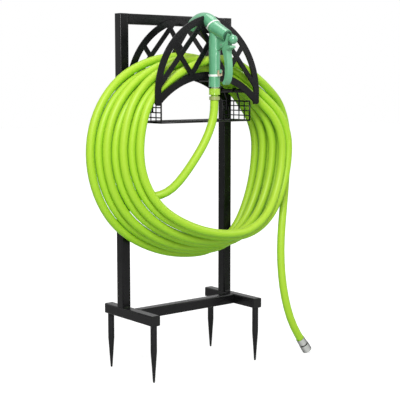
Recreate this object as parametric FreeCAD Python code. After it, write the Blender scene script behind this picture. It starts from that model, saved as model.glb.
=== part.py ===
import FreeCAD, Part
import math
import os

os.makedirs("parts", exist_ok=True)
V = FreeCAD.Vector

# Frame of square steel tube. X = 0 lies midway between the uprights, Y = 0 in
# their depth centre while building, Z = 0 at the spike tips. All sizes in mm.
tube_side = 30.0
tube_wall = 1.5
tube_corner = 3.5
upright_spacing = 391.0
top_height = 1060.0
foot_front = -160.0
foot_rear = 80.0
spike_length = 168.0
spike_radius = 9.5
spike_shoulder = 92.0
spike_tip_radius = 3.0
spike_inset = 11.0
stud_radius = 5.0
stud_length = 22.0
crossbar_gap = 19.0
cap_thickness = 2.5
plug_length = 12.0
plug_clearance = 0.15

# The two lattice arch plates and the saddle rods between them.
plate_thickness = 5.0
plate_spread = 142.0
arch_half_width = 194.0
arch_drop = 232.0
arch_radius = 232.0
arch_overlap = 38.0
band_width = 20.0
leg_length = 31.0
leg_corner = 7.0
lower_arc_drop = 205.0
lower_arc_radius = 250.0
lower_band_width = 20.0
lattice_width = 14.0
lattice_leg_rise = 19.0
lattice_leg_end = -14.0
lattice_ends = ((-72.0, 42.0), (58.0, 131.0))
cradle_wall = 11.0
rod_radius = 6.0
rod_circle = 258.0
rod_step = 17.0
rod_stud_radius = 4.0
rod_stud_length = 15.0
hole_clearance = 0.25
plate_bolt_radius = 3.0
rail_bolt_x = 24.0
leg_bolt_x = 188.0
leg_bolt_drop = 15.0
leg_bolt_rise = 20.0
rivet_nut_radius = 4.5
rivet_nut_length = 11.0
bolt_length = 17.0
bolt_head_radius = 4.4
bolt_head_depth = 2.2
bolt_socket_across = 3.0
bolt_socket_depth = 1.6
spike_nut_across = 14.0
spike_nut_height = 7.0
rod_nut_across = 13.0
rod_nut_height = 6.5
rod_washer_radius = 8.0
rod_washer_thickness = 1.6
weld_leg = 4.0
weld_half = 10.0

# The wire basket that hangs on the two outer rods.
basket_half_width = 169.0
basket_wall = 4.0
basket_front = -153.0
basket_back = -25.0
basket_drop = 81.0
basket_floor_thickness = 2.5
basket_height = 61.0
wire = 3.6
rim_wire = 5.0
hook_strip = 3.0
hook_breadth = 5.0
hook_overlap = 30.0
hook_clearance = 0.3
hook_lip = 6.0
hook_rows = (1.5, 3.5)

# The hose: seven full loops laid side by side, the odd ones on the rods and the
# even ones raised between them, then a feed to the spray gun and a hanging tail.
hose_radius = 12.25
rod_gap = 0.3
loop_top_front = -148.45
loop_top_pitch = 29.0
loop_top_step = 3.95
loop_rise = 26.0
left_side = 211.0
left_pitch = 37.0
left_step = 26.0
right_side = 315.0
right_pitch = -2.0
right_step = 23.5
right_front = -147.5
right_depth_pitch = 37.5
right_depth_step = 15.0
side_rise = 37.0
bottom_drop = 208.0
bottom_pitch = 24.0
bottom_step = 14.5
bottom_front = -174.0
bottom_depth_pitch = 49.5
bottom_depth_step = 21.5
leave_angle = 40.0
leave_reach = 237.0
leave_ease = 3.3
tail_rise = 53.0
tail_depth = -141.0
tail_lead = 17.0

# The spray gun hung by its crook in the front plate's notch.
gun_y = -185.0
crook_y = -134.0
crook_rise = 152.0
crook_bend = 64.0
crook_radius = 20.0
crook_bore = 16.0
crook_front_angle = 45.0
crook_rear_angle = 50.0
notch_clearance = 0.6
notch_seat_gap = 0.3
barrel_slope = 24.0
barrel_length = 60.0
barrel_front_radius = 20.0
barrel_rear_radius = 16.5
head_radius = 20.6
chamber_radius = 11.0
chamber_start = 14.0
handle_drop = 95.0
handle_half_x = 15.0
handle_half_y = 18.5
handle_swell = 55.0
water_bore = 8.0
lever_y = -226.0
lever_drop = 12.0
lever_half_width = 10.0
lever_gap = 5.0
lever_boss = 8.0
lug_half_width = 4.7
pin_radius = 2.5
running = 0.05
stem_radius = 3.5
knob_radius = 13.0
knob_centre = 88.0
knob_face = 77.5
fork_gap = 0.6
spring_start = 18.7
gland_start = 47.0
gland_flange = 14.0
ring_radius = 21.5
ring_thickness = 4.0
clip_pin_y = -209.0
clip_pin_drop = 86.0
clip_pin_radius = 1.5
clip_half_gap = 4.3
clip_arm = 2.5
clip_reach = 13.0

# Inlet fittings below the handle, listed from the top.
handle_ring_height = 6.0
collar_height = 30.0
collar_radius = 16.3
nipple_flange = 4.0
nipple_flange_radius = 10.0
nipple_radius = 7.5
nipple_length = 19.0
nipple_bore = 5.0
sleeve_gap = 0.4
sleeve_length = 18.0
sleeve_radius = 16.0
sleeve_ribs = 18
rib_radius = 1.6
connector_radius = 11.0
connector_flange = 4.2
connector_flange_radius = 14.0
connector_floor = 3.8
clamp_depth = 6.0
clamp_lap = 3.8
clamp_radius = 15.3
seal_rise = 10.0
seal_wire = 1.2

# Tail coupling, distances along the tail's last run from the hose end.
ferrule_back = 18.0
ferrule_front = 4.0
ferrule_radius = 14.0
tailpiece_radius = 8.0
tailpiece_flange = 10.5
tailpiece_end = 20.0
tail_bore = 6.0
nut_back = 8.0
nut_wall = 5.0
nut_front = 34.0
nut_radius = 15.5
nut_bore = 12.3
nut_relief = 12.9
washer_thickness = 3.0

# Heights that follow from the sizes above, from the top of the stand down.
arch_springing = top_height - arch_drop
leg_foot = arch_springing - leg_length
lower_arc_height = arch_springing - lower_arc_drop
leg_bolt_low = arch_springing - leg_bolt_drop
leg_bolt_high = arch_springing + leg_bolt_rise
basket_floor_low = arch_springing - basket_drop
basket_rim = basket_floor_low + basket_height
crook_z = arch_springing + crook_rise
lever_z = crook_z - lever_drop
clip_pin_z = crook_z - clip_pin_drop
handle_low = crook_z - handle_drop
handle_ring_low = handle_low - handle_ring_height
collar_low = handle_ring_low - collar_height
nipple_flange_low = collar_low - nipple_flange
nipple_low = nipple_flange_low - nipple_length
sleeve_top = nipple_flange_low - sleeve_gap
sleeve_low = sleeve_top - sleeve_length
seal_height = nipple_low + seal_rise
connector_flange_top = nipple_low - connector_floor
hose_top = connector_flange_top - connector_flange
clamp_low = hose_top - clamp_depth

# The origin is the middle of the whole outline seen from above.
slope = math.radians(barrel_slope)
front_turn = math.radians(crook_front_angle)
crook_end_y = crook_y - crook_bend * math.sin(front_turn)
crook_end_z = crook_z + crook_bend * math.cos(front_turn)
neck_drop = 10.0
head_y = crook_end_y - neck_drop * math.cos(front_turn)
head_z = crook_end_z - neck_drop * math.sin(front_turn)
outline_front = head_y - knob_centre * math.cos(slope) - knob_radius
origin_y = (foot_rear + outline_front) / 2.0


def keep(name, shape):
    shape.translate(V(0, -origin_y, 0))
    shape.exportStep("parts/" + name + ".step")


def box(x0, x1, y0, y1, z0, z1):
    return Part.makeBox(x1 - x0, y1 - y0, z1 - z0, V(x0, y0, z0))


def rod(radius, start, end):
    return Part.makeCylinder(radius, start.distanceToPoint(end), start, end - start)


def ring(outer, inner, start, end):
    return rod(outer, start, end).cut(rod(inner, start, end))


def rounded_bar(side, corner, length):
    bar = Part.makeBox(side, side, length, V(-side / 2, -side / 2, 0))
    upright_edges = [e for e in bar.Edges if abs(e.tangentAt(e.FirstParameter).z) > 0.9]
    return bar.makeFillet(corner, upright_edges)


def laid(shape, start, direction):
    shape.Placement = FreeCAD.Placement(start, FreeCAD.Rotation(V(0, 0, 1), direction))
    return shape


def square_tube(start, end):
    length = start.distanceToPoint(end)
    outer = rounded_bar(tube_side, tube_corner, length)
    inner = rounded_bar(tube_side - 2 * tube_wall, tube_corner - tube_wall, length)
    return laid(outer.cut(inner), start, end - start)


def end_cap(start, direction):
    cover = rounded_bar(tube_side, tube_corner, cap_thickness)
    inside = tube_side - 2 * tube_wall - 2 * plug_clearance
    plug = rounded_bar(inside, tube_corner - tube_wall, plug_length)
    plug.translate(V(0, 0, -plug_length))
    return laid(cover.fuse(plug).removeSplitter(), start, direction)


def hexagon(across, height, start, direction):
    points = []
    for corner in range(7):
        turn = math.radians(60 * corner)
        reach = across / 2 / math.cos(math.radians(30))
        points.append(V(reach * math.cos(turn), reach * math.sin(turn), 0))
    prism = Part.Face(Part.makePolygon(points)).extrude(V(0, 0, height))
    return laid(prism, start, direction)


def slab(points, x0, x1):
    """Outline given as (y, z) pairs, extruded from x0 to x1."""
    corners = [V(x0, y, z) for y, z in points]
    corners.append(corners[0])
    return Part.Face(Part.makePolygon(corners)).extrude(V(x1 - x0, 0, 0))


def strip(points, y0, y1):
    """Outline given as (x, z) pairs, extruded from y0 to y1."""
    corners = [V(x, y0, z) for x, z in points]
    corners.append(corners[0])
    return Part.Face(Part.makePolygon(corners)).extrude(V(0, y1 - y0, 0))


def both_sides(shape):
    return shape.fuse(shape.mirror(V(0, 0, 0), V(1, 0, 0)))


def pair(shape):
    return Part.makeCompound([shape, shape.mirror(V(0, 0, 0), V(1, 0, 0))])


# Base: two foot bars, the crossbar between them and the four ground spikes.
half_tube = tube_side / 2
side_x = upright_spacing / 2
inner_x = side_x - half_tube
foot_low = spike_length
foot_top = foot_low + tube_side
foot_mid = foot_low + half_tube
spike_front = foot_front + spike_inset
spike_rear = foot_rear - spike_inset

bar_front = V(-side_x, foot_front + cap_thickness, foot_mid)
bar_rear = V(-side_x, foot_rear - cap_thickness, foot_mid)
foot = square_tube(bar_front, bar_rear)
for spike_y in (spike_front, spike_rear):
    seat = V(-side_x, spike_y, foot_low - 1)
    foot = foot.cut(rod(stud_radius + hole_clearance, seat, seat + V(0, 0, tube_wall + 2)))
keep("left_foot_bar", foot.copy())
keep("right_foot_bar", foot.mirror(V(0, 0, 0), V(1, 0, 0)))


def foot_cap(start, direction, spike_y):
    """End cap whose plug is hollowed round the spike's nut and stud."""
    well_low = V(-side_x, spike_y, foot_low)
    well_top = V(-side_x, spike_y, foot_top - tube_wall - 1)
    return end_cap(start, direction).cut(rod(spike_nut_across / 2 + 2, well_low, well_top))


keep("front_foot_caps", pair(foot_cap(bar_front, V(0, -1, 0), spike_front)))
keep("rear_foot_caps", pair(foot_cap(bar_rear, V(0, 1, 0), spike_rear)))

crossbar_y = -half_tube - crossbar_gap - half_tube
crossbar = square_tube(V(-inner_x, crossbar_y, foot_mid), V(inner_x, crossbar_y, foot_mid))
keep("foot_crossbar", crossbar)


def spike(x, y):
    profile = [V(0, 0, 0), V(spike_tip_radius - 1, 0, 0), V(spike_tip_radius, 0, 1.5)]
    profile += [V(spike_radius, 0, spike_shoulder), V(spike_radius, 0, spike_length)]
    profile += [V(stud_radius, 0, spike_length), V(stud_radius, 0, spike_length + stud_length)]
    profile += [V(0, 0, spike_length + stud_length), V(0, 0, 0)]
    solid = Part.Face(Part.makePolygon(profile)).revolve(V(0, 0, 0), V(0, 0, 1), 360)
    solid.translate(V(x, y, 0))
    return solid


keep("front_left_spike", spike(-side_x, spike_front))
keep("front_right_spike", spike(side_x, spike_front))
keep("rear_left_spike", spike(-side_x, spike_rear))
keep("rear_right_spike", spike(side_x, spike_rear))

spike_nuts = []
for x in (-side_x, side_x):
    for y in (spike_front, spike_rear):
        seat = V(x, y, foot_low + tube_wall)
        nut = hexagon(spike_nut_across, spike_nut_height, seat, V(0, 0, 1))
        bore = rod(stud_radius + running, seat, seat + V(0, 0, spike_nut_height))
        spike_nuts.append(nut.cut(bore))
keep("spike_nuts", Part.makeCompound(spike_nuts))

# Uprights, their caps and weld beads, and the top rail between them.
upright_end = top_height - cap_thickness
rail_mid = top_height - half_tube
plate_back = -half_tube
upright = square_tube(V(-side_x, 0, foot_top), V(-side_x, 0, upright_end))
for bolt_z in (leg_bolt_low, leg_bolt_high):
    seat = V(-leg_bolt_x, plate_back - 1, bolt_z)
    upright = upright.cut(rod(rivet_nut_radius + running, seat, seat + V(0, tube_wall + 2, 0)))
keep("left_upright", upright.copy())
keep("right_upright", upright.mirror(V(0, 0, 0), V(1, 0, 0)))
keep("upright_caps", pair(end_cap(V(-side_x, 0, upright_end), V(0, 0, 1))))

beads = []
for turn in (-1, 1):
    y = turn * half_tube
    outline = [(y, foot_top), (y + turn * weld_leg, foot_top), (y, foot_top + weld_leg)]
    beads.append(slab(outline, -side_x - weld_half, -side_x + weld_half))
beads += [one.mirror(V(0, 0, 0), V(1, 0, 0)) for one in beads]
keep("upright_welds", Part.makeCompound(beads))

rail = square_tube(V(-inner_x, 0, rail_mid), V(inner_x, 0, rail_mid))
for x in (-rail_bolt_x, rail_bolt_x):
    seat = V(x, plate_back - 1, rail_mid)
    rail = rail.cut(rod(rivet_nut_radius + running, seat, seat + V(0, tube_wall + 2, 0)))
keep("top_rail", rail)

# Arch plates: an outer band, a lower band over the arc and crossing lattice bars.
rear_front_face = plate_back - plate_thickness
front_back_face = rear_front_face - plate_spread + plate_thickness
front_face = front_back_face - plate_thickness


def arch_body(inset, y0, y1):
    """Pointed arch prism, its outline drawn in by inset."""
    turn_radius = arch_radius - inset
    half = arch_half_width - inset
    apex = arch_springing + math.sqrt(turn_radius ** 2 - arch_overlap ** 2)
    rise = math.asin(arch_overlap / turn_radius) + math.pi / 2
    middle = (math.pi + rise) / 2
    corner = leg_corner if inset == 0 else 0
    tip = V(0, y0, apex)
    left_mid = V(arch_overlap, y0, arch_springing) + V(math.cos(middle), 0, math.sin(middle)) * turn_radius
    right_mid = V(-left_mid.x, y0, left_mid.z)
    low = leg_foot if inset == 0 else leg_foot - band_width
    edges = [Part.Arc(V(-half, y0, arch_springing), left_mid, tip).toShape()]
    edges.append(Part.Arc(tip, right_mid, V(half, y0, arch_springing)).toShape())
    edges.append(Part.LineSegment(V(half, y0, arch_springing), V(half, y0, low + corner)).toShape())
    if corner:
        bend = corner * (1 - math.sqrt(0.5))
        turn = V(half - bend, y0, low + bend)
        edges.append(Part.Arc(V(half, y0, low + corner), turn, V(half - corner, y0, low)).toShape())
        edges.append(Part.LineSegment(V(half - corner, y0, low), V(corner - half, y0, low)).toShape())
        turn = V(bend - half, y0, low + bend)
        edges.append(Part.Arc(V(corner - half, y0, low), turn, V(-half, y0, low + corner)).toShape())
    else:
        edges.append(Part.LineSegment(V(half, y0, low), V(-half, y0, low)).toShape())
    edges.append(Part.LineSegment(V(-half, y0, low + corner), V(-half, y0, arch_springing)).toShape())
    return Part.Face(Part.Wire(edges)).extrude(V(0, y1 - y0, 0))


def bar_between(x0, z0, x1, z1, y0, y1):
    reach = math.hypot(x1 - x0, z1 - z0)
    across = lattice_width / 2 / reach
    side = ((z1 - z0) * across, (x0 - x1) * across)
    corners = [(x0 + side[0], z0 + side[1]), (x1 + side[0], z1 + side[1])]
    corners += [(x1 - side[0], z1 - side[1]), (x0 - side[0], z0 - side[1])]
    return strip(corners, y0, y1)


def on_outer_band(x):
    """Height of the outer band's middle line at x."""
    reach = arch_radius - band_width / 2
    return arch_springing + math.sqrt(reach ** 2 - (abs(x) + arch_overlap) ** 2)


def on_lower_band(x):
    reach = lower_arc_radius + lower_band_width / 2
    return lower_arc_height + math.sqrt(reach ** 2 - x ** 2)


def lattice_plate(y0, y1):
    outline = arch_body(0, y0, y1)
    band = outline.cut(arch_body(band_width, y0 - 1, y1 + 1))
    arc_low = V(0, y0, lower_arc_height)
    arc_end = V(0, y1, lower_arc_height)
    leg_reach = math.sqrt((arch_radius - band_width / 2) ** 2 - lattice_leg_rise ** 2)
    leg_x = arch_overlap - leg_reach
    leg_z = arch_springing + lattice_leg_rise
    bars = bar_between(leg_x, leg_z, lattice_leg_end, on_outer_band(lattice_leg_end), y0, y1)
    for low_x, high_x in lattice_ends:
        bars = bars.fuse(bar_between(low_x, on_lower_band(low_x), high_x, on_outer_band(high_x), y0, y1))
    bars = both_sides(bars)
    clear = rod(lower_arc_radius + lower_band_width / 2, arc_low - V(0, 1, 0), arc_end + V(0, 1, 0))
    bars = bars.cut(clear)
    lower = ring(lower_arc_radius + lower_band_width, lower_arc_radius, arc_low, arc_end)
    grid = band.fuse([bars, lower])
    return grid.common(outline).removeSplitter()


rod_places = []
for step in range(-2, 3):
    turn = math.radians(rod_step * step)
    rod_places.append((rod_circle * math.sin(turn), lower_arc_height + rod_circle * math.cos(turn)))

notch_radius = crook_radius + notch_clearance
crook_inner = crook_bend - crook_radius
seat_z = crook_z + math.sqrt(crook_inner ** 2 - (front_face - crook_y) ** 2) - notch_seat_gap
notch_z = seat_z + notch_radius
front_plate = lattice_plate(front_face, front_back_face)
collar = rod(notch_radius + cradle_wall, V(0, front_face, notch_z), V(0, front_back_face, notch_z))
front_plate = front_plate.fuse(collar.common(arch_body(0, front_face, front_back_face)))
notch = rod(notch_radius, V(0, front_face - 1, notch_z), V(0, front_back_face + 1, notch_z))
notch_end = notch_z + arch_radius
notch_top = box(-notch_radius, notch_radius, front_face - 1, front_back_face + 1, notch_z, notch_end)
front_plate = front_plate.cut(notch).cut(notch_top).removeSplitter()
keep("front_arch_plate", front_plate)

rear_plate = lattice_plate(rear_front_face, plate_back)
bolt_places = [(-rail_bolt_x, rail_mid), (rail_bolt_x, rail_mid)]
for x in (-leg_bolt_x, leg_bolt_x):
    bolt_places += [(x, leg_bolt_low), (x, leg_bolt_high)]
drills = [(x, z, plate_bolt_radius) for x, z in bolt_places]
drills += [(x, z, rod_stud_radius) for x, z in rod_places]
for x, z, radius in drills:
    drill = rod(radius + hole_clearance, V(x, rear_front_face - 1, z), V(x, plate_back + 1, z))
    rear_plate = rear_plate.cut(drill)


def sunk_head(x, z, clearance):
    """Cone of a bolt's head, flush with the plate's front face."""
    wide = bolt_head_radius + clearance
    narrow = plate_bolt_radius + clearance
    return Part.makeCone(wide, narrow, bolt_head_depth, V(x, rear_front_face, z), V(0, 1, 0))


for x, z in bolt_places:
    rear_plate = rear_plate.cut(sunk_head(x, z, running))
keep("rear_arch_plate", rear_plate)

rod_names = ["left_outer_rod", "left_inner_rod", "middle_rod", "right_inner_rod", "right_outer_rod"]
rod_nuts = []
rod_washers = []
for name, (x, z) in zip(rod_names, rod_places):
    shoulder_end = V(x, rear_front_face, z)
    bar = rod(rod_radius, V(x, front_back_face, z), shoulder_end)
    bar = bar.fuse(rod(rod_stud_radius, shoulder_end, shoulder_end + V(0, rod_stud_length, 0)))
    keep(name, bar.removeSplitter())
    washer_seat = V(x, plate_back, z)
    nut_seat = washer_seat + V(0, rod_washer_thickness, 0)
    nut_end = nut_seat + V(0, rod_nut_height, 0)
    bore = rod_stud_radius + running
    rod_washers.append(ring(rod_washer_radius, bore, washer_seat, nut_seat))
    nut = hexagon(rod_nut_across, rod_nut_height, nut_seat, V(0, 1, 0))
    rod_nuts.append(nut.cut(rod(bore, nut_seat, nut_end)))
keep("rod_nuts", Part.makeCompound(rod_nuts))
keep("rod_washers", Part.makeCompound(rod_washers))

bolts = []
rivet_nuts = []
for x, z in bolt_places:
    head_seat = V(x, rear_front_face, z)
    shank = rod(plate_bolt_radius, head_seat, head_seat + V(0, bolt_length, 0))
    socket = hexagon(bolt_socket_across, bolt_socket_depth, head_seat, V(0, 1, 0))
    bolts.append(sunk_head(x, z, 0).fuse(shank).removeSplitter().cut(socket))
    nut_seat = V(x, plate_back, z)
    nut_end = nut_seat + V(0, rivet_nut_length, 0)
    rivet_nuts.append(ring(rivet_nut_radius, plate_bolt_radius + running, nut_seat, nut_end))
keep("rail_bolts", Part.makeCompound(bolts[:2]))
keep("leg_bolts", Part.makeCompound(bolts[2:]))
keep("rivet_nuts", Part.makeCompound(rivet_nuts))

# Basket: mesh floor, two mesh side walls and the strap hooks over the outer rods.


def window(wires, corners):
    wires.append(Part.makePolygon(corners + [corners[0]]))


floor_top = basket_floor_low + basket_floor_thickness
columns = 12
rows = 5
sheet = []
half = basket_half_width
window(sheet, [V(-half, basket_front, basket_floor_low), V(half, basket_front, basket_floor_low),
               V(half, basket_back, basket_floor_low), V(-half, basket_back, basket_floor_low)])
pitch_x = (2 * half - rim_wire) / columns
pitch_y = (basket_back - basket_front - rim_wire) / rows
edge = (rim_wire - wire) / 2 + wire
for column in range(columns):
    for row in range(rows):
        x0 = -half + edge + column * pitch_x
        y0 = basket_front + edge + row * pitch_y
        x1 = x0 + pitch_x - wire
        y1 = y0 + pitch_y - wire
        z0 = basket_floor_low
        window(sheet, [V(x0, y0, z0), V(x1, y0, z0), V(x1, y1, z0), V(x0, y1, z0)])
floor = Part.makeFace(sheet, "Part::FaceMakerBullseye").extrude(V(0, 0, basket_floor_thickness))
keep("basket_floor", floor)

wall = []
window(wall, [V(-half, basket_front, floor_top), V(-half, basket_back, floor_top),
              V(-half, basket_back, basket_rim), V(-half, basket_front, basket_rim)])
wall_rows = 3
pitch_z = (basket_rim - floor_top - 2 * rim_wire + wire) / wall_rows
for row in range(rows):
    y0 = basket_front + edge + row * pitch_y
    y1 = y0 + pitch_y - wire
    for level in range(wall_rows):
        z0 = floor_top + rim_wire + level * pitch_z
        z1 = z0 + pitch_z - wire
        window(wall, [V(-half, y0, z0), V(-half, y1, z0), V(-half, y1, z1), V(-half, y0, z1)])
left_wall = Part.makeFace(wall, "Part::FaceMakerBullseye").extrude(V(basket_wall, 0, 0))
keep("basket_left_wall", left_wall.copy())
keep("basket_right_wall", left_wall.mirror(V(0, 0, 0), V(1, 0, 0)))

hook_x, hook_z = rod_places[-1]
hook_inner = rod_radius + hook_clearance
hook_outer = hook_inner + hook_strip
wall_face = basket_half_width - basket_wall
hooks = []
for row in hook_rows:
    y = loop_top_front + loop_top_pitch * row
    y0 = y - hook_breadth / 2
    y1 = y + hook_breadth / 2
    strap_foot = basket_rim - hook_overlap
    strap_knee = basket_rim + hook_strip
    strap = [(wall_face, strap_foot), (wall_face, strap_knee + 1)]
    strap += [(hook_x + hook_outer, hook_z), (hook_x + hook_inner, hook_z)]
    strap += [(wall_face - hook_strip, strap_knee), (wall_face - hook_strip, strap_foot)]
    leg = strip(strap, y0, y1)
    bow = ring(hook_outer, hook_inner, V(hook_x, y0, hook_z), V(hook_x, y1, hook_z))
    bow = bow.cut(box(hook_x - hook_outer, hook_x + hook_outer, y0, y1, hook_z - hook_outer, hook_z))
    lip = box(hook_x - hook_outer, hook_x - hook_inner, y0, y1, hook_z - hook_lip, hook_z)
    hooks.append(leg.fuse([bow, lip]).removeSplitter())
keep("right_basket_hooks", Part.makeCompound([one.copy() for one in hooks]))
left_hooks = [one.mirror(V(0, 0, 0), V(1, 0, 0)) for one in hooks]
keep("left_basket_hooks", Part.makeCompound(left_hooks))

# Spray gun: crook, barrel ring and housing, all in the plane X = 0.


def gun(y, z, x=0.0):
    return V(x, y, z)


along_barrel = V(0, -math.cos(slope), -math.sin(slope))
below_barrel = V(0, math.sin(slope), -math.cos(slope))
neck_way = V(0, -math.cos(front_turn), -math.sin(front_turn))
head = gun(head_y, head_z)
crook_end = gun(crook_end_y, crook_end_z)


def station(distance, below=0.0):
    return head + along_barrel * distance + below_barrel * below


def bend(radius, first, last):
    start = gun(crook_y - crook_bend * math.sin(first), crook_z + crook_bend * math.cos(first))
    way = V(0, math.cos(first), math.sin(first))
    disc = Part.Face(Part.Wire([Part.Circle(start, way, radius).toShape()]))
    return disc.revolve(gun(crook_y, crook_z), V(-1, 0, 0), math.degrees(first - last))


rear_turn = math.radians(crook_rear_angle)
crook = bend(crook_radius, front_turn, -rear_turn).cut(bend(crook_bore, front_turn, -rear_turn))
keep("gun_crook", crook)

outlet = gun(crook_y + crook_bend * math.sin(rear_turn), crook_z + crook_bend * math.cos(rear_turn))
outlet_way = V(0, math.cos(rear_turn), -math.sin(rear_turn))
face_disc = rod(crook_bore - 0.1, outlet - outlet_way * 4, outlet - outlet_way * 1)
jets = [(0.0, 0.0)]
for count, reach in ((6, 5.5), (12, 11.0)):
    for place in range(count):
        turn = 2 * math.pi * place / count
        jets.append((reach * math.cos(turn), reach * math.sin(turn)))
across_way = V(0, math.sin(rear_turn), math.cos(rear_turn))
for side, rise in jets:
    jet = outlet + V(side, 0, 0) + across_way * rise
    face_disc = face_disc.cut(rod(0.9, jet - outlet_way * 5, jet))
keep("spray_face", face_disc)
keep("spray_rim", ring(ring_radius, crook_bore, outlet, outlet + outlet_way * 5))

ring_end = crook_end + neck_way * ring_thickness
keep("barrel_ring", ring(ring_radius, crook_bore, crook_end, ring_end))


def ellipse_wire(half_x, half_y, z):
    turned = Part.Ellipse(gun(gun_y, z), half_y, half_x)
    turned.XAxis = V(0, 1, 0)
    return Part.Wire([turned.toShape()])


handle = Part.makeLoft([ellipse_wire(handle_half_x - 0.6, handle_half_y - 0.8, handle_low),
                        ellipse_wire(handle_half_x, handle_half_y, handle_low + handle_swell),
                        ellipse_wire(handle_half_x - 0.4, handle_half_y - 1.5, head_z - 8)], True)
barrel = Part.makeCone(barrel_front_radius, barrel_rear_radius, barrel_length, head, along_barrel)
neck = rod(crook_radius, ring_end, head)
lug_outline = [(30, 32), (-3, 24), (-9, 0), (-5, -8), (4, -9), (30, -18)]
lug_outline = [(lever_y + y, lever_z + z) for y, z in lug_outline]
lug = slab(lug_outline, -lug_half_width, lug_half_width)
clip_lug_half = clip_half_gap - 0.3
clip_lug_end = gun_y - handle_half_y + 6
clip_lug = box(-clip_lug_half, clip_lug_half, clip_pin_y - 4, clip_lug_end, clip_pin_z - 5, clip_pin_z + 5)
housing = handle.fuse([Part.makeSphere(head_radius, head), barrel, neck, lug, clip_lug])
lever_axis = gun(lever_y, lever_z)
clip_axis = gun(clip_pin_y, clip_pin_z)
cross = V(20, 0, 0)
housing = housing.cut(rod(head_radius + 8, ring_end - neck_way * 30, ring_end))
housing = housing.cut(rod(crook_bore - 2, ring_end - neck_way, head + neck_way * 2))
housing = housing.cut(rod(6, head, station(chamber_start + 1)))
housing = housing.cut(rod(chamber_radius, station(chamber_start), station(barrel_length + 1)))
bore_end = head_z - 2 * head_radius
housing = housing.cut(rod(water_bore, gun(gun_y, handle_low - 1), gun(gun_y, bore_end)))
housing = housing.cut(rod(5.5, gun(gun_y, bore_end - 4), station(chamber_start + 12)))
housing = housing.cut(rod(pin_radius + running, lever_axis - cross, lever_axis + cross))
housing = housing.cut(rod(clip_pin_radius + running, clip_axis - cross, clip_axis + cross))
keep("gun_housing", housing.removeSplitter())

# Valve: stem with its disc, the spring behind it, the gland and the flow knob.
stem = rod(stem_radius, station(chamber_start - 2), station(knob_centre + 8))
stem = stem.fuse(rod(9, station(chamber_start + 0.3), station(chamber_start + 4.3)))
keep("valve_stem", stem.removeSplitter())

spring_wire = 1.2
spring_reach = 6.5
spring_length = gland_start - spring_start - 2 * spring_wire - 0.2
coil_path = Part.makeHelix(spring_length / 6, spring_length, spring_reach)
wire_disc = Part.Wire([Part.Circle(V(spring_reach, 0, 0), V(0, 1, 0), spring_wire).toShape()])
spring = Part.Wire(coil_path.Edges).makePipeShell([wire_disc], True, True)
keep("valve_spring", laid(spring, station(spring_start + spring_wire), along_barrel))

gland = ring(chamber_radius - running, stem_radius + running, station(gland_start), station(barrel_length))
flange = ring(gland_flange, stem_radius + running, station(barrel_length), station(barrel_length + 4))
keep("stem_gland", gland.fuse(flange).removeSplitter())

ball = Part.makeSphere(knob_radius, station(knob_centre))
front_cut = Part.makeCylinder(knob_radius + 1, knob_radius, station(knob_face), along_barrel * -1)
knob = ball.cut(front_cut)
knob = knob.cut(rod(stem_radius + running, station(knob_face - 1), station(knob_centre + 8.5)))
keep("flow_knob", knob)

# Trigger lever: two cheeks astride the stem and lug, one bowed grip below.


def turned(distance, below):
    place = station(distance, below)
    return V(-lever_half_width, place.y, place.z)


def by_pin(y, z):
    """Point on the lever's left face, measured from its pin."""
    return V(-lever_half_width, lever_y + y, lever_z + z)


fork_face = knob_face - fork_gap
fork_top = turned(fork_face - 9, -9)
fork = [fork_top, turned(fork_face, -9), turned(fork_face, 13), by_pin(-24, -1), by_pin(-39, -3)]
fork += [by_pin(-40.5, -8), by_pin(-23, -15)]
outer_points = [fork[-1], by_pin(-26.5, -48), by_pin(-28, -78), by_pin(-22, -102), by_pin(-10, -113)]
inner_points = [by_pin(-5, -107), by_pin(-14, -94), by_pin(-17, -75), by_pin(-13.5, -43), by_pin(-4, -12)]
outer_edge = Part.BSplineCurve()
outer_edge.interpolate(outer_points)
inner_edge = Part.BSplineCurve()
inner_edge.interpolate(inner_points)
edges = list(Part.makePolygon(fork).Edges)
edges.append(outer_edge.toShape())
edges.append(Part.LineSegment(outer_points[-1], inner_points[0]).toShape())
edges.append(inner_edge.toShape())
edges += list(Part.makePolygon([inner_points[-1], turned(fork_face - 9, 15), fork_top]).Edges)
lever = Part.Face(Part.Wire(edges)).extrude(V(2 * lever_half_width, 0, 0))
boss_half = V(lever_half_width, 0, 0)
lever = lever.fuse(rod(lever_boss, lever_axis - boss_half, lever_axis + boss_half))
fork_slot = box(-lever_gap, lever_gap, lever_y - 54, lever_y + 21, lever_z - 1, lever_z + 42)
lug_slot = box(-lever_gap, lever_gap, lever_y - 21, lever_y + 21, lever_z - 22, lever_z)
lever = lever.cut(fork_slot).cut(lug_slot)
lever = lever.cut(rod(pin_radius + 0.02, lever_axis - cross, lever_axis + cross))
keep("trigger_lever", lever.removeSplitter())
keep("trigger_pin", rod(pin_radius, lever_axis - boss_half * 1.05, lever_axis + boss_half * 1.05))

clip_half = clip_half_gap + clip_arm
clip = rod(3.2, clip_axis - V(clip_half, 0, 0), clip_axis + V(clip_half, 0, 0))
clip_foot = clip_pin_z - clip_reach
clip_arms = box(-clip_half, clip_half, clip_pin_y - clip_arm, clip_pin_y + clip_arm, clip_foot, clip_pin_z)
clip_front = clip_pin_y - 10
clip_back = clip_pin_y + 10
clip_slot = box(-clip_half_gap, clip_half_gap, clip_front, clip_back, clip_foot + 4, clip_pin_z + 6)
clip = clip.fuse(clip_arms).cut(clip_slot)
clip = clip.cut(rod(clip_pin_radius + 0.02, clip_axis - cross, clip_axis + cross))
keep("hold_open_clip", clip.removeSplitter())
keep("hold_open_pin", rod(clip_pin_radius, clip_axis - V(clip_half, 0, 0), clip_axis + V(clip_half, 0, 0)))

# Inlet side: handle ring, collar, nipple with its seal and the quick connector.


def upright_ring(outer, inner, low, high):
    return ring(outer, inner, gun(gun_y, low), gun(gun_y, high))


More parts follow.
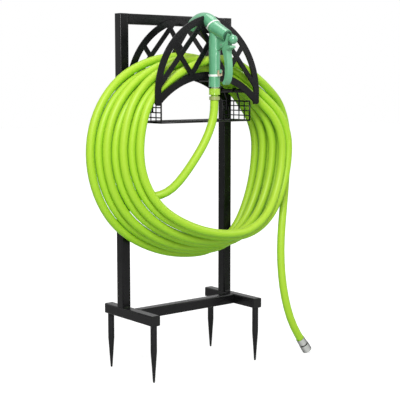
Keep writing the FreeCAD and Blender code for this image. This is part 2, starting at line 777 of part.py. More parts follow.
band = Part.Face(ellipse_wire(handle_half_x + 0.8, handle_half_y + 0.6, handle_ring_low))
band = band.extrude(V(0, 0, handle_low - handle_ring_low))
keep("handle_ring", band.cut(rod(water_bore, gun(gun_y, handle_ring_low - 1), gun(gun_y, handle_low + 1))))
keep("inlet_collar", upright_ring(collar_radius, water_bore, collar_low, handle_ring_low))
nipple = upright_ring(nipple_flange_radius, nipple_bore, nipple_flange_low, collar_low)
nipple = nipple.fuse(upright_ring(nipple_radius, nipple_bore, nipple_low, nipple_flange_low))
groove = Part.makeTorus(nipple_radius, seal_wire + running, gun(gun_y, seal_height))
keep("inlet_nipple", nipple.removeSplitter().cut(groove))
keep("nipple_seal", Part.makeTorus(nipple_radius, seal_wire, gun(gun_y, seal_height)))

connector = rod(connector_radius, gun(gun_y, connector_flange_top), gun(gun_y, sleeve_top))
flange = rod(connector_flange_radius, gun(gun_y, hose_top), gun(gun_y, connector_flange_top))
seal_seat = seal_height - 6
wide_bore = rod(nipple_radius + seal_wire + running, gun(gun_y, seal_seat), gun(gun_y, sleeve_top + 1))
narrow_bore = rod(nipple_radius + running, gun(gun_y, nipple_low - 1), gun(gun_y, seal_seat + 1))
water_way = rod(nipple_bore, gun(gun_y, hose_top - 1), gun(gun_y, nipple_low))
connector = connector.fuse(flange).cut(wide_bore).cut(narrow_bore).cut(water_way)
keep("connector_body", connector.removeSplitter())

sleeve = upright_ring(sleeve_radius, connector_radius + running, sleeve_low, sleeve_top)
groove_reach = sleeve_radius + rib_radius / 2
for place in range(sleeve_ribs):
    turn = 2 * math.pi * place / sleeve_ribs
    low = gun(gun_y + groove_reach * math.sin(turn), sleeve_low + 3, groove_reach * math.cos(turn))
    sleeve = sleeve.cut(rod(rib_radius, low, low + V(0, 0, sleeve_length - 6)))
keep("connector_sleeve", sleeve)

clamp = upright_ring(clamp_radius, hose_radius + running, clamp_low, hose_top + clamp_lap)
flange_end = gun(gun_y, hose_top + clamp_lap + 1)
flange_seat = rod(connector_flange_radius + running, gun(gun_y, hose_top), flange_end)
clamp = clamp.cut(flange_seat)
keep("hose_clamp_ring", clamp)

# Hose feed and tail: straight runs joined by tangent arcs through chosen points.
feed_points = [(0, gun_y, hose_top), (0, gun_y, 780), (-10, -185, 741), (-27, -183, 703), (-47, -178, 667),
               (-69, -170, 632), (-92, -157, 594), (-118.5, -140, 557.5), (-146, -119.2, 538.3),
               (-177.2, -95.6, 533.1), (-207.8, -72.5, 542.8), (-233.3, -53.2, 565.9), (-250.2, -40.4, 599.2),
               (-256, -36, 637.9), (-256, -36, 660)]
tail_points = [(364, -106, 650), (360, -110, 596), (335, -127, 492), (315, -138.5, 416), (301, -148.5, 338),
               (297, -158.5, 261), (302, -168.5, 189), (318, -177, 121), (343, -184.5, 68), (366, -185.5, 37.2)]


def tube_route(points):
    places = [V(*point) for point in points]
    edges = []
    radii = []
    start = places[0]
    for before, corner, after in zip(places, places[1:], places[2:]):
        come = (corner - before).normalize()
        leave = (after - corner).normalize()
        turn = come.getAngle(leave)
        shorter = min(before.distanceToPoint(corner), corner.distanceToPoint(after))
        cut = 0.478 * shorter
        radius = cut / math.tan(turn / 2)
        radii.append(round(radius))
        first = corner - come * cut
        last = corner + leave * cut
        middle = corner + (leave - come).normalize() * (math.hypot(radius, cut) - radius)
        edges.append(Part.LineSegment(start, first).toShape())
        edges.append(Part.Arc(first, middle, last).toShape())
        start = last
    edges.append(Part.LineSegment(start, places[-1]).toShape())
    return Part.Wire(edges), radii


def swept_tube(route, start, way):
    disc = Part.Wire([Part.Circle(start, way, hose_radius).toShape()])
    return route.makePipeShell([disc], True, False)


def hose_stretch(name, points):
    route, radii = tube_route(points)
    first = V(*points[0])
    tube = swept_tube(route, first, V(*points[1]) - first)
    share = tube.Volume / (math.pi * hose_radius ** 2 * route.Length)
    print(name, "radii", radii, "volume share", round(share, 4), "length", round(route.Length))
    keep(name, tube)


# Coil: the loops are counted from the front, and each is set by five places.
loop_count = 8
saddle_radius = rod_circle + rod_radius + hose_radius + rod_gap
side_height = lower_arc_height + side_rise
diameter = 2 * hose_radius


def place_in_pair(loop):
    """Number of the loop's pair, and whether it is the raised one."""
    return (loop + 1) // 2, (loop + 1) % 2


def top_depth(loop):
    pair_number, raised = place_in_pair(loop)
    return loop_top_front + loop_top_pitch * pair_number + loop_top_step * raised


def top_lift(loop):
    return loop_rise * place_in_pair(loop)[1] if loop else 0.0


def left_reach(loop):
    pair_number, raised = place_in_pair(loop)
    return left_side + left_pitch * pair_number + left_step * raised


def right_reach(loop):
    pair_number, raised = place_in_pair(loop)
    return right_side + right_pitch * (pair_number - 1) + right_step * raised


def shoulder(side, depth, lift, reach):
    """Place where a loop meets the saddle; a wider loop meets it nearer the top."""
    turn = math.radians(leave_angle - (reach - lift - leave_reach) / leave_ease) * side
    outward = V(math.sin(turn), 0, math.cos(turn))
    place = V(0, depth, lower_arc_height) + outward * (saddle_radius + lift)
    return place, V(math.cos(turn), 0, -math.sin(turn))


def left_flank(loop):
    return V(-left_reach(loop), top_depth(loop), side_height), V(0, 0, 1)


def right_flank(loop):
    pair_number, raised = place_in_pair(loop)
    depth = right_front + right_depth_pitch * (pair_number - 1) + right_depth_step * raised
    return V(right_reach(loop), depth, side_height), V(0, 0, -1)


def underside(loop):
    pair_number, raised = place_in_pair(loop)
    middle = (right_reach(loop) - left_reach(loop - 1)) / 2
    depth = bottom_front + bottom_depth_pitch * (pair_number - 1) + bottom_depth_step * raised
    low = lower_arc_height - bottom_drop - bottom_pitch * (pair_number - 1) - bottom_step * raised
    return V(middle, depth, low), V(-1, 0, 0)


coil_start = V(*feed_points[-1])
coil_way = (coil_start - V(*feed_points[-2])).normalize()
coil_end = V(*tail_points[0])
tail_way = (V(*tail_points[1]) - coil_end).normalize()
stations = [(coil_start + coil_way * diameter, coil_way)]
reach = -coil_start.x
for loop in range(loop_count - 1, 0, -1):
    stations.append(shoulder(-1, top_depth(loop), top_lift(loop), reach))
    stations.append(shoulder(1, top_depth(loop), top_lift(loop), right_reach(loop)))
    stations.append(right_flank(loop))
    stations.append(underside(loop))
    stations.append(left_flank(loop - 1))
    reach = left_reach(loop - 1)
stations.append(shoulder(-1, top_depth(0), top_lift(0), reach))
stations.append(shoulder(1, tail_depth, tail_rise, coil_end.x + tail_lead))
stations.append((coil_end - tail_way * diameter, tail_way))


def biarc(p0, t0, p1, t1):
    chord = p1 - p0
    both = t0 + t1
    spread = 2 * (1 - t0.dot(t1))
    forward = chord.dot(both)
    reach = (-forward + math.sqrt(forward ** 2 + spread * chord.dot(chord))) / spread
    joint = (p0 + p1 + (t0 - t1) * reach) * 0.5
    arcs = []
    for a, b, apex in ((p0, joint, p0 + t0 * reach), (joint, p1, p1 - t1 * reach)):
        mid = (a + b) * 0.5
        h = a.distanceToPoint(b) / 2
        rise = apex - mid
        height = rise.Length
        bulge = h * math.tan(math.atan2(height, h) / 2)
        arcs.append(Part.Arc(a, mid + rise * (bulge / height), b).toShape())
    return arcs


edges = [Part.LineSegment(coil_start, stations[0][0]).toShape()]
for (p0, t0), (p1, t1) in zip(stations, stations[1:]):
    edges += biarc(p0, t0, p1, t1)
edges.append(Part.LineSegment(stations[-1][0], coil_end).toShape())
coil_route = Part.Wire(edges)
coil = swept_tube(coil_route, coil_start, coil_way)
samples = coil_route.discretize(Number=2400)
ways = [after - before for before, after in zip(samples, samples[1:])]
skip = int(4 * diameter / ways[0].Length)
near = 1.5 * diameter
gap = near
for i, here in enumerate(samples):
    for j in range(i + skip, len(ways)):
        offset = here - samples[j]
        if abs(offset.x) > near or abs(offset.y) > near or abs(offset.z) > near:
            continue
        along = min(max(offset.dot(ways[j]) / ways[j].dot(ways[j]), 0), 1)
        gap = min(gap, (offset - ways[j] * along).Length)
tightest = min(e.Curve.Radius for e in edges if e.Curve.TypeId == "Part::GeomCircle")
share = coil.Volume / (math.pi * hose_radius ** 2 * coil_route.Length)
print("coil length", round(coil_route.Length), "least self gap", round(gap - diameter, 2))
print("coil tightest bend", round(tightest), "volume share", round(share, 4), "valid", coil.isValid())
keep("hose_coil", coil)
hose_stretch("hose_feed", feed_points)
hose_stretch("hose_tail", tail_points)

# Tail coupling on the hose end: ferrule, tailpiece, swivel nut and washer.
tail_end = V(*tail_points[-1])
tail_axis = (tail_end - V(*tail_points[-2])).normalize()


def on_tail(distance):
    return tail_end + tail_axis * distance


ferrule = rod(ferrule_radius, on_tail(-ferrule_back), on_tail(ferrule_front))
ferrule = ferrule.cut(rod(hose_radius + running, on_tail(-ferrule_back - 1), on_tail(0)))
keep("tail_ferrule", ferrule.cut(rod(tail_bore, on_tail(-1), on_tail(ferrule_front + 1))))
tailpiece = ring(tailpiece_radius, tail_bore, on_tail(ferrule_front), on_tail(tailpiece_end))
flange = ring(tailpiece_flange, tail_bore, on_tail(tailpiece_end - 3), on_tail(tailpiece_end))
tailpiece = tailpiece.fuse(flange)
keep("tail_tailpiece", tailpiece.removeSplitter())
nut = rod(nut_radius, on_tail(nut_back), on_tail(nut_front))
nut = nut.cut(rod(tailpiece_radius + running, on_tail(nut_back - 1), on_tail(nut_back + nut_wall + 1)))
washer_end = tailpiece_end + washer_thickness
nut = nut.cut(rod(nut_relief, on_tail(nut_back + nut_wall), on_tail(washer_end)))
nut = nut.cut(rod(nut_bore, on_tail(washer_end - 1), on_tail(nut_front + 1)))
keep("tail_swivel_nut", nut)
washer = ring(nut_bore - 0.3, tail_bore, on_tail(tailpiece_end), on_tail(washer_end))
keep("tail_washer", washer)
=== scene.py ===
import math
import bmesh
import bpy
from mathutils import Matrix, Vector


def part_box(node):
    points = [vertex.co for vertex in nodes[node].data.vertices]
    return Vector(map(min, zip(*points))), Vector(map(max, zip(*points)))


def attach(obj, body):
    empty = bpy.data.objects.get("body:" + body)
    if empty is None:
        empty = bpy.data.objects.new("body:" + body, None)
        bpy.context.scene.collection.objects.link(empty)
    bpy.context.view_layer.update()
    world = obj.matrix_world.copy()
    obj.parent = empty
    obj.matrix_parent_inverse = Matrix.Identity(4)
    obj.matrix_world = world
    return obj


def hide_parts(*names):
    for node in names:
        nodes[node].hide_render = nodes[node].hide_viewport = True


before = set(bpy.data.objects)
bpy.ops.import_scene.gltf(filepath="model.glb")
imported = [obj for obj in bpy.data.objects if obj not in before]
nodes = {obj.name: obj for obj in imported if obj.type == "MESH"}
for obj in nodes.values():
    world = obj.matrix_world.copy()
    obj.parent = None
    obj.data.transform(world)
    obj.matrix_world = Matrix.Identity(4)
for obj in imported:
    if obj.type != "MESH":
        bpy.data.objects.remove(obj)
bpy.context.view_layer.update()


# Foot bars and crossbar: 30 mm square steel tube, welded square and powder
# coated black in one pass, so the coat is a little pebbled and clouded.
class Shade:
    """A shader socket that takes part in Python arithmetic."""

    def __init__(self, tree, socket):
        self.tree = tree
        self.socket = socket

    def put(self, kind, settings, inputs, output=0):
        node = self.tree.nodes.new(kind)
        for name, value in settings.items():
            setattr(node, name, value)
        for name, value in inputs.items():
            if isinstance(value, Shade):
                self.tree.links.new(value.socket, node.inputs[name])
            else:
                node.inputs[name].default_value = value
        return Shade(self.tree, node.outputs[output])

    def maths(self, operation, first, second):
        return self.put("ShaderNodeMath", {"operation": operation}, {0: first, 1: second})

    def __add__(self, other):
        return self.maths("ADD", self, other)

    def __radd__(self, other):
        return self.maths("ADD", other, self)

    def __mul__(self, other):
        return self.maths("MULTIPLY", self, other)

    def __rmul__(self, other):
        return self.maths("MULTIPLY", other, self)

    def noise(self, scale, detail=3.0):
        inputs = {"Vector": self, "Scale": scale, "Detail": detail, "Roughness": 0.55}
        return self.put("ShaderNodeTexNoise", {}, inputs)

    def stretched(self, amount):
        return self.put("ShaderNodeMapping", {}, {"Vector": self, "Scale": amount})

    def between(self, low, high):
        inputs = {"Value": self, "From Min": low, "From Max": high}
        return self.put("ShaderNodeMapRange", {}, inputs)

    def tint(self, first, second):
        inputs = {0: self, 6: (*first, 1), 7: (*second, 1)}
        return self.put("ShaderNodeMix", {"data_type": "RGBA"}, inputs, 2)

    def bump(self, strength, distance):
        inputs = {"Height": self, "Strength": strength, "Distance": distance}
        return self.put("ShaderNodeBump", {}, inputs)


def new_finish(name, **fixed):
    material = bpy.data.materials.new(name)
    material.use_nodes = True
    tree = material.node_tree
    shader = tree.nodes["Principled BSDF"]
    for socket, value in fixed.items():
        shader.inputs[socket.replace("_", " ")].default_value = value
    place = Shade(tree, tree.nodes.new("ShaderNodeTexCoord").outputs["Object"])
    return material, shader, place


def drive(shader, **links):
    for socket, shade in links.items():
        name = socket.replace("_", " ")
        shade.tree.links.new(shade.socket, shader.inputs[name])


def paint(material, *names):
    for name in names:
        mesh = nodes[name].data
        mesh.materials.clear()
        mesh.materials.append(material)


coat_dark = (0.0030, 0.0030, 0.0034)
coat_light = (0.0055, 0.0055, 0.0060)
powder_coat, coat_shader, place = new_finish("powder_coat", Specular_IOR_Level=0.26)
pebble = place.noise(scale=1500.0, detail=2.0)
cloud = place.noise(scale=26.0)
drive(coat_shader,
      Base_Color=cloud.between(0.3, 0.7).tint(coat_dark, coat_light),
      Roughness=0.20 + 0.12 * cloud,
      Normal=pebble.bump(strength=0.22, distance=0.0004))


def ease_edges(name, width):
    weld = nodes[name].modifiers.new("join", "WELD")
    weld.merge_threshold = 0.00002
    bevel = nodes[name].modifiers.new("ease", "BEVEL")
    bevel.width = width
    bevel.segments = 2
    bevel.limit_method = "ANGLE"
    bevel.angle_limit = math.radians(50)


tube_rounding = 0.0016
foot_tubes = ["left_foot_bar", "right_foot_bar", "foot_crossbar"]
paint(powder_coat, *foot_tubes)
for tube in foot_tubes:
    ease_edges(tube, tube_rounding)


# End caps: black polyethylene plugs pressed into the open tube ends, duller
# than the coat and faintly grained by the mould.
cap_dark = (0.006, 0.006, 0.006)
cap_light = (0.011, 0.011, 0.011)
cap_black, cap_shader, place = new_finish("cap_black", Specular_IOR_Level=0.25)
grain = place.noise(scale=900.0, detail=4.0)
drive(cap_shader,
      Base_Color=place.noise(scale=60.0).tint(cap_dark, cap_light),
      Roughness=0.48 + 0.14 * grain,
      Normal=grain.bump(strength=0.25, distance=0.0003))
paint(cap_black, "front_foot_caps", "rear_foot_caps", "upright_caps")


# Ground spikes: turned steel pegs with a long taper, coated like the frame and
# rubbed a little brighter in patches by the soil.
spike_dark = (0.005, 0.005, 0.006)
spike_rubbed = (0.012, 0.012, 0.013)
spike_coat, spike_shader, place = new_finish("spike_coat", Specular_IOR_Level=0.25)
rub = place.noise(scale=120.0, detail=5.0)
turned = place.stretched((1.0, 1.0, 8.0)).noise(scale=260.0, detail=2.0)
drive(spike_shader,
      Base_Color=rub.between(0.35, 0.75).tint(spike_dark, spike_rubbed),
      Roughness=0.28 + 0.22 * rub,
      Normal=turned.bump(strength=0.12, distance=0.0004))
paint(spike_coat, "front_left_spike", "front_right_spike", "rear_left_spike", "rear_right_spike")


# Uprights, top rail and their weld beads: the same coated tube as the feet.
# The beads are rippled where the torch paused.
frame_tubes = ["left_upright", "right_upright", "top_rail"]
paint(powder_coat, *frame_tubes)
for tube in frame_tubes:
    ease_edges(tube, tube_rounding)
weld_dark = (0.005, 0.005, 0.006)
weld_light = (0.009, 0.009, 0.009)
weld_coat, weld_shader, place = new_finish("weld_coat", Roughness=0.42, Specular_IOR_Level=0.24)
along = place.stretched((420.0, 1.0, 1.0))
ripple = along.put("ShaderNodeTexWave", {"bands_direction": "X"}, {"Scale": 1.0})
drive(weld_shader,
      Base_Color=place.noise(scale=80.0).tint(weld_dark, weld_light),
      Normal=ripple.bump(strength=0.4, distance=0.0006))
paint(weld_coat, "upright_welds")


# Arch plates and saddle rods: laser-cut 5 mm plate and plain bar, coated black.
# Cut edges are eased a little, so they catch a thin line of light.
plate_rounding = 0.0009
arch_plates = ["front_arch_plate", "rear_arch_plate"]
paint(powder_coat, *arch_plates)
for plate in arch_plates:
    ease_edges(plate, plate_rounding)
rods = ["left_outer_rod", "left_inner_rod", "middle_rod", "right_inner_rod", "right_outer_rod"]
paint(powder_coat, *rods)


# Nuts, washers, pins, valve stem and spring: zinc-plated steel, slightly clouded
# and with fine turning marks. The bolts are coated black with the frame.
zinc_dull = (0.46, 0.46, 0.44)
zinc_bright = (0.66, 0.67, 0.66)
zinc, zinc_shader, place = new_finish("zinc_plate", Metallic=1.0)
bloom = place.noise(scale=220.0, detail=5.0)
drive(zinc_shader,
      Base_Color=bloom.tint(zinc_dull, zinc_bright),
      Roughness=0.26 + 0.2 * bloom,
      Normal=place.noise(scale=2600.0, detail=1.0).bump(strength=0.1, distance=0.0002))
fasteners = ["spike_nuts", "rod_nuts", "rod_washers", "rivet_nuts"]
fasteners += ["trigger_pin", "hold_open_pin", "valve_stem", "valve_spring"]
paint(zinc, *fasteners)
paint(powder_coat, "rail_bolts", "leg_bolts")


# Wire basket: drawn wire, spot-welded where it crosses and coated black. Two
# side nets stand on a floor net, and thicker wire frames the edges.
thin_wire = 0.0017
edge_wire = 0.0024
floor_wire = thin_wire * 0.8
wire_sides = 8
floor_gaps = (24, 9)
wall_gaps = (5, 4)


def straight_wire(mesh, start, end, radius):
    run = end - start
    turn = run.to_track_quat("Z", "Y").to_matrix().to_4x4()
    middle = Matrix.Translation((start + end) / 2)
    bmesh.ops.create_cone(mesh, cap_ends=True, segments=wire_sides, radius1=radius,
                          radius2=radius, depth=run.length, matrix=middle @ turn)


def bar_net(mesh, corner, first, second, gaps, wire):
    """Wires parallel to first and to second, thick ones round the outside."""
    for side, other, count in ((first, second, gaps[0]), (second, first, gaps[1])):
        for number in range(count + 1):
            radius = edge_wire if number in (0, count) else wire
            start = corner + side * (number / count)
            straight_wire(mesh, start, start + other, radius)


floor_low, floor_high = (Vector(corner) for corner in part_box("basket_floor"))
wall_high = Vector(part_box("basket_left_wall")[1])
net = bmesh.new()
floor_corner = floor_low + Vector((edge_wire, edge_wire, edge_wire * 0.6))
floor_x = Vector((floor_high.x - floor_low.x - 2 * edge_wire, 0, 0))
floor_y = Vector((0, floor_high.y - floor_low.y - 2 * edge_wire, 0))
bar_net(net, floor_corner, floor_x, floor_y, floor_gaps, floor_wire)
wall_up = Vector((0, 0, wall_high.z - floor_corner.z - edge_wire))
for side_start in (floor_corner, floor_corner + floor_x):
    bar_net(net, side_start, floor_y, wall_up, wall_gaps, thin_wire)
net_mesh = bpy.data.meshes.new("basket_net")
net.to_mesh(net_mesh)
net.free()
net_mesh.materials.append(powder_coat)
for face in net_mesh.polygons:
    face.use_smooth = len(face.vertices) == 4
basket_net = bpy.data.objects.new("basket_net", net_mesh)
bpy.context.collection.objects.link(basket_net)
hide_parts("basket_floor", "basket_left_wall", "basket_right_wall")
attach(basket_net, "stand")
paint(powder_coat, "left_basket_hooks", "right_basket_hooks")


# Spray gun: moulded in sea-green plastic with a satin skin, the lever in a lighter
# green, with white rings and a black face. The gland is a darker green as painted
# shade, for the shade at the barrel's end beside the lever.
def moulded(name, dark, light, roughness, coat):
    material, shader, place = new_finish(name, Coat_Weight=coat, Coat_Roughness=0.09)
    skin = place.noise(scale=1100.0)
    cloud = place.noise(scale=38.0)
    drive(shader,
          Base_Color=cloud.between(0.25, 0.75).tint(dark, light),
          Roughness=roughness + 0.10 * skin,
          Normal=skin.bump(strength=0.10, distance=0.0003))
    return material


gun_green = moulded("gun_green", dark=(0.088, 0.330, 0.170), light=(0.120, 0.385, 0.205),
                    roughness=0.30, coat=0.8)
lever_green = moulded("lever_green", dark=(0.115, 0.365, 0.190), light=(0.145, 0.415, 0.225),
                      roughness=0.34, coat=0.4)
ring_white = moulded("ring_white", dark=(0.70, 0.76, 0.70), light=(0.82, 0.86, 0.80),
                     roughness=0.28, coat=0.3)
dark_plastic = moulded("spray_black", dark=(0.014, 0.018, 0.016), light=(0.022, 0.027, 0.024),
                       roughness=0.42, coat=0.0)
# Painted shade: the gland is darkened to stand for the shade at the barrel's end.
gland_shade_green = moulded("gland_shade_green", dark=(0.030, 0.100, 0.055), light=(0.040, 0.130, 0.070),
                      roughness=0.40, coat=0.1)
clip_beige = moulded("clip_beige", dark=(0.50, 0.40, 0.25), light=(0.60, 0.49, 0.33),
                     roughness=0.40, coat=0.1)
paint(gun_green, "gun_housing", "gun_crook", "flow_knob", "inlet_collar")
paint(lever_green, "trigger_lever")
paint(ring_white, "barrel_ring", "handle_ring", "inlet_nipple")
paint(dark_plastic, "spray_face", "spray_rim")
paint(gland_shade_green, "stem_gland")
paint(clip_beige, "hold_open_clip")


# Quick connector under the gun: a ribbed lime sleeve that slides on its body,
# an olive clamp ring that grips the hose, and black seals.
lime_plastic = moulded("connector_lime", dark=(0.30, 0.52, 0.030), light=(0.38, 0.62, 0.050),
                       roughness=0.30, coat=0.4)
olive_plastic = moulded("clamp_olive", dark=(0.26, 0.32, 0.100), light=(0.34, 0.40, 0.140),
                        roughness=0.40, coat=0.1)
seal_rubber = moulded("seal_rubber", dark=(0.012, 0.012, 0.012), light=(0.020, 0.020, 0.020),
                      roughness=0.62, coat=0.0)
paint(lime_plastic, "connector_body", "connector_sleeve")
paint(olive_plastic, "hose_clamp_ring")
paint(seal_rubber, "nipple_seal", "tail_washer")


# Hose: one unbroken length of lime vinyl hose, 24.5 mm over its sheath. It leaves
# the clamp ring, passes over the saddle eight times, and hangs to the floor. Its
# colour is painted light and shade: yellower on the side that faces up and to the
# front left, toward the key lamp, and greener on the side that faces away.
hose_radius = 0.01225
half_tube = 0.015
depth_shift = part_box("left_upright")[0][1] + half_tube
gun_y = -0.185


def row_point(x, y, z):
    return Vector((x, y + depth_shift, z))


feed_route = [(0, gun_y, 0.818), (0, gun_y, 0.780), (-0.010, -0.185, 0.741),
              (-0.027, -0.183, 0.703), (-0.047, -0.178, 0.667), (-0.069, -0.170, 0.632),
              (-0.092, -0.157, 0.594), (-0.1185, -0.140, 0.5575), (-0.146, -0.1192, 0.5383),
              (-0.1772, -0.0956, 0.5331), (-0.2078, -0.0725, 0.5428), (-0.2333, -0.0532, 0.5659),
              (-0.2502, -0.0404, 0.5992), (-0.256, -0.036, 0.6379), (-0.256, -0.036, 0.660)]
tail_route = [(0.364, -0.106, 0.650), (0.360, -0.110, 0.596), (0.335, -0.127, 0.492),
              (0.315, -0.1385, 0.416), (0.301, -0.1485, 0.338), (0.297, -0.1585, 0.261),
              (0.302, -0.1685, 0.189), (0.318, -0.177, 0.121), (0.343, -0.1845, 0.068),
              (0.366, -0.1855, 0.0372)]

# Each measure of a pass: its value at the front, what every pair of passes adds,
# and what the raised pass of a pair adds.
top_lift = (0.0, 0.003, 0.0254)
top_depth = (-0.14845, 0.029, 0.00395)
left_reach = (0.2104, 0.0367, 0.0261)
right_reach = (0.3094, -0.007, 0.0296)
right_depth = (-0.1886, 0.0375, 0.0032)
under_lean = (0.0303, 0.012, 0.0161)
under_depth = (-0.2339, 0.0512, 0.0238)
under_height = (0.4385, -0.025, -0.0138)

passes = 8
middle_pair = 2.5
outer_lean = 0.0076
first_slack = 0.008
left_height = 0.665
right_height = 0.660


class Loop:
    """One pass over the saddle, counted from the front; every other one is raised."""

    def __init__(self, number):
        self.pair = (number + 1) // 2
        self.raised = (number + 1) % 2
        self.lift = self.measure(top_lift) if number else 0.0
        self.depth = self.measure(top_depth)
        self.left = self.measure(left_reach)
        self.right = self.measure(right_reach)
        if number == passes - 1:
            self.right += first_slack

    def measure(self, steps):
        front, per_pair, when_raised = steps
        return front + per_pair * self.pair + when_raised * self.raised

    def left_flank(self):
        return row_point(-self.left, self.depth, left_height), Vector((0, 0, 1))

    def right_flank(self):
        y = self.measure(right_depth)
        return row_point(self.right, y, right_height), Vector((0, 0, -1))

    def underside(self, next_left):
        lean = self.measure(under_lean) + outer_lean * (self.pair - middle_pair) ** 2
        x = (self.right - next_left) / 2 + lean
        y = self.measure(under_depth)
        z = self.measure(under_height)
        return row_point(x, y, z), Vector((-1, 0, 0))


# Where a pass meets the round saddle, in degrees from the top. Past the snug
# width it meets it nearer the top, a degree for each ease in width.
saddle_centre = 0.623
saddle_radius = 0.27655
snug_width = 0.237
snug_left = 36.0
wide_left_from = 0.246
wide_left = 15.6
left_ease = 0.0022
snug_right = 47.3
right_ease = 0.0037


def shoulder(side, y, lift, reach):
    width = reach - lift
    angle = snug_left
    if side > 0:
        angle = snug_right - (width - snug_width) / right_ease
    elif width > wide_left_from:
        angle = wide_left - (width - snug_width) / left_ease
    turn = side * math.radians(angle)
    far = saddle_radius + lift
    spot = row_point(far * math.sin(turn), y, saddle_centre + far * math.cos(turn))
    return spot, Vector((math.cos(turn), 0, -math.sin(turn)))


def arc_points(start, apex, end, count):
    """Points on the circular arc that touches both lines to apex."""
    weight = (start - apex).normalized().dot((start - end).normalized())
    points = []
    for number in range(count):
        share = number / count
        parts = ((1 - share) ** 2, 2 * weight * share * (1 - share), share ** 2)
        points.append((start * parts[0] + apex * parts[1] + end * parts[2]) / sum(parts))
    return points


def two_arcs(start, start_way, end, end_way, count):
    """Points on two arcs that meet smoothly and keep the ways at both ends."""
    chord = end - start
    spread = 2 * (1 - start_way.dot(end_way))
    forward = chord.dot(start_way + end_way)
    reach = (math.sqrt(forward ** 2 + spread * chord.dot(chord)) - forward) / spread
    joint = (start + end + (start_way - end_way) * reach) / 2
    first_arc = arc_points(start, start + start_way * reach, joint, count)
    return first_arc + arc_points(joint, end - end_way * reach, end, count)


feed_reach = 0.256
tail_depth = -0.143
tail_lift = 0.043
tail_reach = 0.356
arc_steps = 6
feed = [row_point(*point) for point in feed_route]
tail = [row_point(*point) for point in tail_route]
feed_way = (feed[-1] - feed[-2]).normalized()
tail_way = (tail[1] - tail[0]).normalized()
stations = [(feed[-1] + feed_way * 2 * hose_radius, feed_way)]
loops = [Loop(number) for number in range(passes)]
reach = feed_reach
for number in range(passes - 1, 0, -1):
    loop, following = loops[number], loops[number - 1]
    stations.append(shoulder(-1, loop.depth, loop.lift, reach))
    stations.append(shoulder(1, loop.depth, loop.lift, loop.right))
    stations.append(loop.right_flank())
    stations.append(loop.underside(following.left))
    stations.append(following.left_flank())
    reach = following.left
stations.append(shoulder(-1, loops[0].depth, loops[0].lift, reach))
stations.append(shoulder(1, tail_depth, tail_lift, tail_reach))
stations.append((tail[0] - tail_way * 2 * hose_radius, tail_way))
route = list(feed)
for (start, start_way), (end, end_way) in zip(stations, stations[1:]):
    route += two_arcs(start, start_way, end, end_way, arc_steps)
route += [stations[-1][0]] + tail

hose_curve = bpy.data.curves.new("hose", "CURVE")
hose_curve.dimensions = "3D"
hose_curve.bevel_depth = hose_radius
hose_curve.bevel_resolution = 5
hose_curve.use_fill_caps = True
hose_curve.resolution_u = 2
line = hose_curve.splines.new("NURBS")
line.points.add(len(route) - 1)
for point, spot in zip(line.points, route):
    point.co = (*spot, 1)
line.order_u = 3
line.use_endpoint_u = True
hose_length = sum((b - a).length for a, b in zip(route, route[1:]))

# Painted light and shade: the base colour turns lighter and yellower where the surface faces the
# key lamp, and greener where it faces away.
hose_painted_shade_green = (0.238, 0.675, 0.002)
hose_painted_light_yellow = (0.370, 0.572, 0.035)
key_lamp_side = (-0.45, -0.55, 0.70)
hose_vinyl, hose_shader, place = new_finish("hose_vinyl", Specular_IOR_Level=0.28,
                                            Coat_Weight=0.06, Coat_Roughness=0.30)
cloud = place.noise(scale=14.0)
skin = place.noise(scale=700.0)
outward = place.put("ShaderNodeNewGeometry", {}, {}, 1)
painted_light_facing = place.put("ShaderNodeVectorMath", {"operation": "DOT_PRODUCT"},
                   {0: outward, 1: key_lamp_side}, 1)
drive(hose_shader,
      Base_Color=(painted_light_facing + 0.2 * cloud).between(-0.6, 1.0).tint(hose_painted_shade_green, hose_painted_light_yellow),
      Roughness=0.38 + 0.10 * skin,
      Normal=skin.bump(strength=0.06, distance=0.0004))
hose_curve.materials.append(hose_vinyl)
hose = bpy.data.objects.new("hose", hose_curve)
bpy.context.collection.objects.link(hose)
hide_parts("hose_feed", "hose_coil", "hose_tail")
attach(hose, "stand")


# Tail coupling: nickel-plated brass, a crimped ferrule on the hose end and a
# swivel nut that turns on its tailpiece.
nickel_bright = (0.86, 0.87, 0.85)
nickel_painted_dark_rim = (0.16, 0.165, 0.16)
nickel, nickel_shader, place = new_finish("bright_nickel", Metallic=1.0)
turning = place.noise(scale=900.0, detail=2.0)
# Painted reflection: the base colour darkens toward the silhouette, standing in for dark
# reflections at the rims; turning marks add a little random tone.
rim_reflection_facing = place.put("ShaderNodeLayerWeight", {}, {"Blend": 0.5}, 1)
drive(nickel_shader,
      Base_Color=(rim_reflection_facing + 0.10 * turning).between(0.25, 0.75).tint(nickel_bright, nickel_painted_dark_rim),
      Roughness=0.08 + 0.12 * turning,
      Normal=turning.bump(strength=0.05, distance=0.0002))
coupling = ["tail_ferrule", "tail_tailpiece", "tail_swivel_nut"]
paint(nickel, *coupling)
row_point(0, gun_y, 0.812)


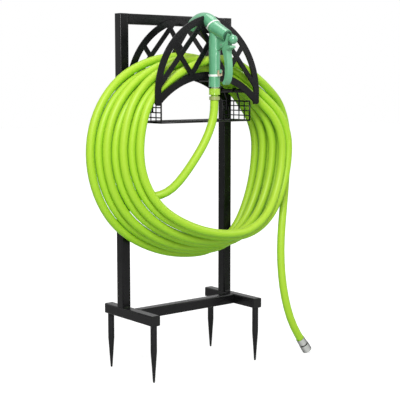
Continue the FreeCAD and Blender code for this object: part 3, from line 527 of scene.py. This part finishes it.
# Studio: a pale floor, a soft sky and large lamps, and the camera where the
# photograph was taken from.
floor_dark = (0.54, 0.54, 0.54)
floor_light = (0.56, 0.56, 0.56)
glow_near = (0.66, 0.66, 0.66)
glow_far = (0.96, 0.96, 0.96)
floor_mesh = bmesh.new()
bmesh.ops.create_grid(floor_mesh, x_segments=1, y_segments=1, size=14.0)
floor_data = bpy.data.meshes.new("studio_floor")
floor_mesh.to_mesh(floor_data)
floor_mesh.free()
floor_paint, floor_shader, place = new_finish("studio_paint", Roughness=0.8, Emission_Strength=1.0)
seen = place.put("ShaderNodeLightPath", {}, {})
away = place.put("ShaderNodeVectorMath", {"operation": "LENGTH"}, {0: place}, 1)
glow = away.between(0.4, 2.4).tint(glow_near, glow_far)
seen_glow = seen.put("ShaderNodeMix", {"data_type": "RGBA"}, {0: seen, 6: (0, 0, 0, 1), 7: glow}, 2)
drive(floor_shader,
      Base_Color=place.noise(scale=0.6).tint(floor_dark, floor_light),
      Emission_Color=seen_glow)
floor_data.materials.append(floor_paint)
studio_floor = bpy.data.objects.new("studio_floor", floor_data)
bpy.context.collection.objects.link(studio_floor)

world = bpy.data.worlds.new("studio_sky")
world.use_nodes = True
sky = world.node_tree.nodes["Background"]
sky.inputs["Color"].default_value = (1, 1, 1, 1)
light_path = world.node_tree.nodes.new("ShaderNodeLightPath")
looked_at = Shade(world.node_tree, light_path.outputs["Is Camera Ray"])
mirrored = Shade(world.node_tree, light_path.outputs["Is Glossy Ray"])
drive(sky, Strength=0.20 + 0.80 * looked_at + 0.50 * mirrored)
bpy.context.scene.world = world


def soft_lamp(name, spot, aim, power, width, height):
    lamp = bpy.data.lights.new(name, "AREA")
    lamp.shape = "RECTANGLE"
    lamp.energy = power
    lamp.size = width
    lamp.size_y = height
    holder = bpy.data.objects.new(name, lamp)
    holder.location = spot
    holder.rotation_euler = (Vector(aim) - Vector(spot)).to_track_quat("-Z", "Y").to_euler()
    bpy.context.collection.objects.link(holder)


coil_middle = (0, 0, 0.6)
gun_height = (0, 0, 0.9)
soft_lamp("key_lamp", (-2.4, -2.6, 3.2), coil_middle, power=185, width=1.8, height=1.8)
soft_lamp("side_lamp", (2.4, -1.6, 2.0), coil_middle, power=26, width=1.6, height=1.6)
soft_lamp("top_lamp", (0.2, 0.2, 3.4), coil_middle, power=30, width=1.6, height=1.6)
soft_lamp("strip_lamp", (-1.65, -2.64, 0.95), gun_height, power=14, width=0.16, height=1.5)

camera_down = 6.57
camera_turn = 38.84
camera_data = bpy.data.cameras.new("camera")
camera_data.sensor_width = 36.0
camera_data.lens = 93.65
camera = bpy.data.objects.new("camera", camera_data)
camera.location = (-1.9275, -2.5122 + depth_shift, 0.8687)
camera.rotation_euler = (math.radians(90 - camera_down), 0, math.radians(-camera_turn))
bpy.context.collection.objects.link(camera)
bpy.context.scene.camera = camera
bpy.context.scene.view_settings.view_transform = "Standard"
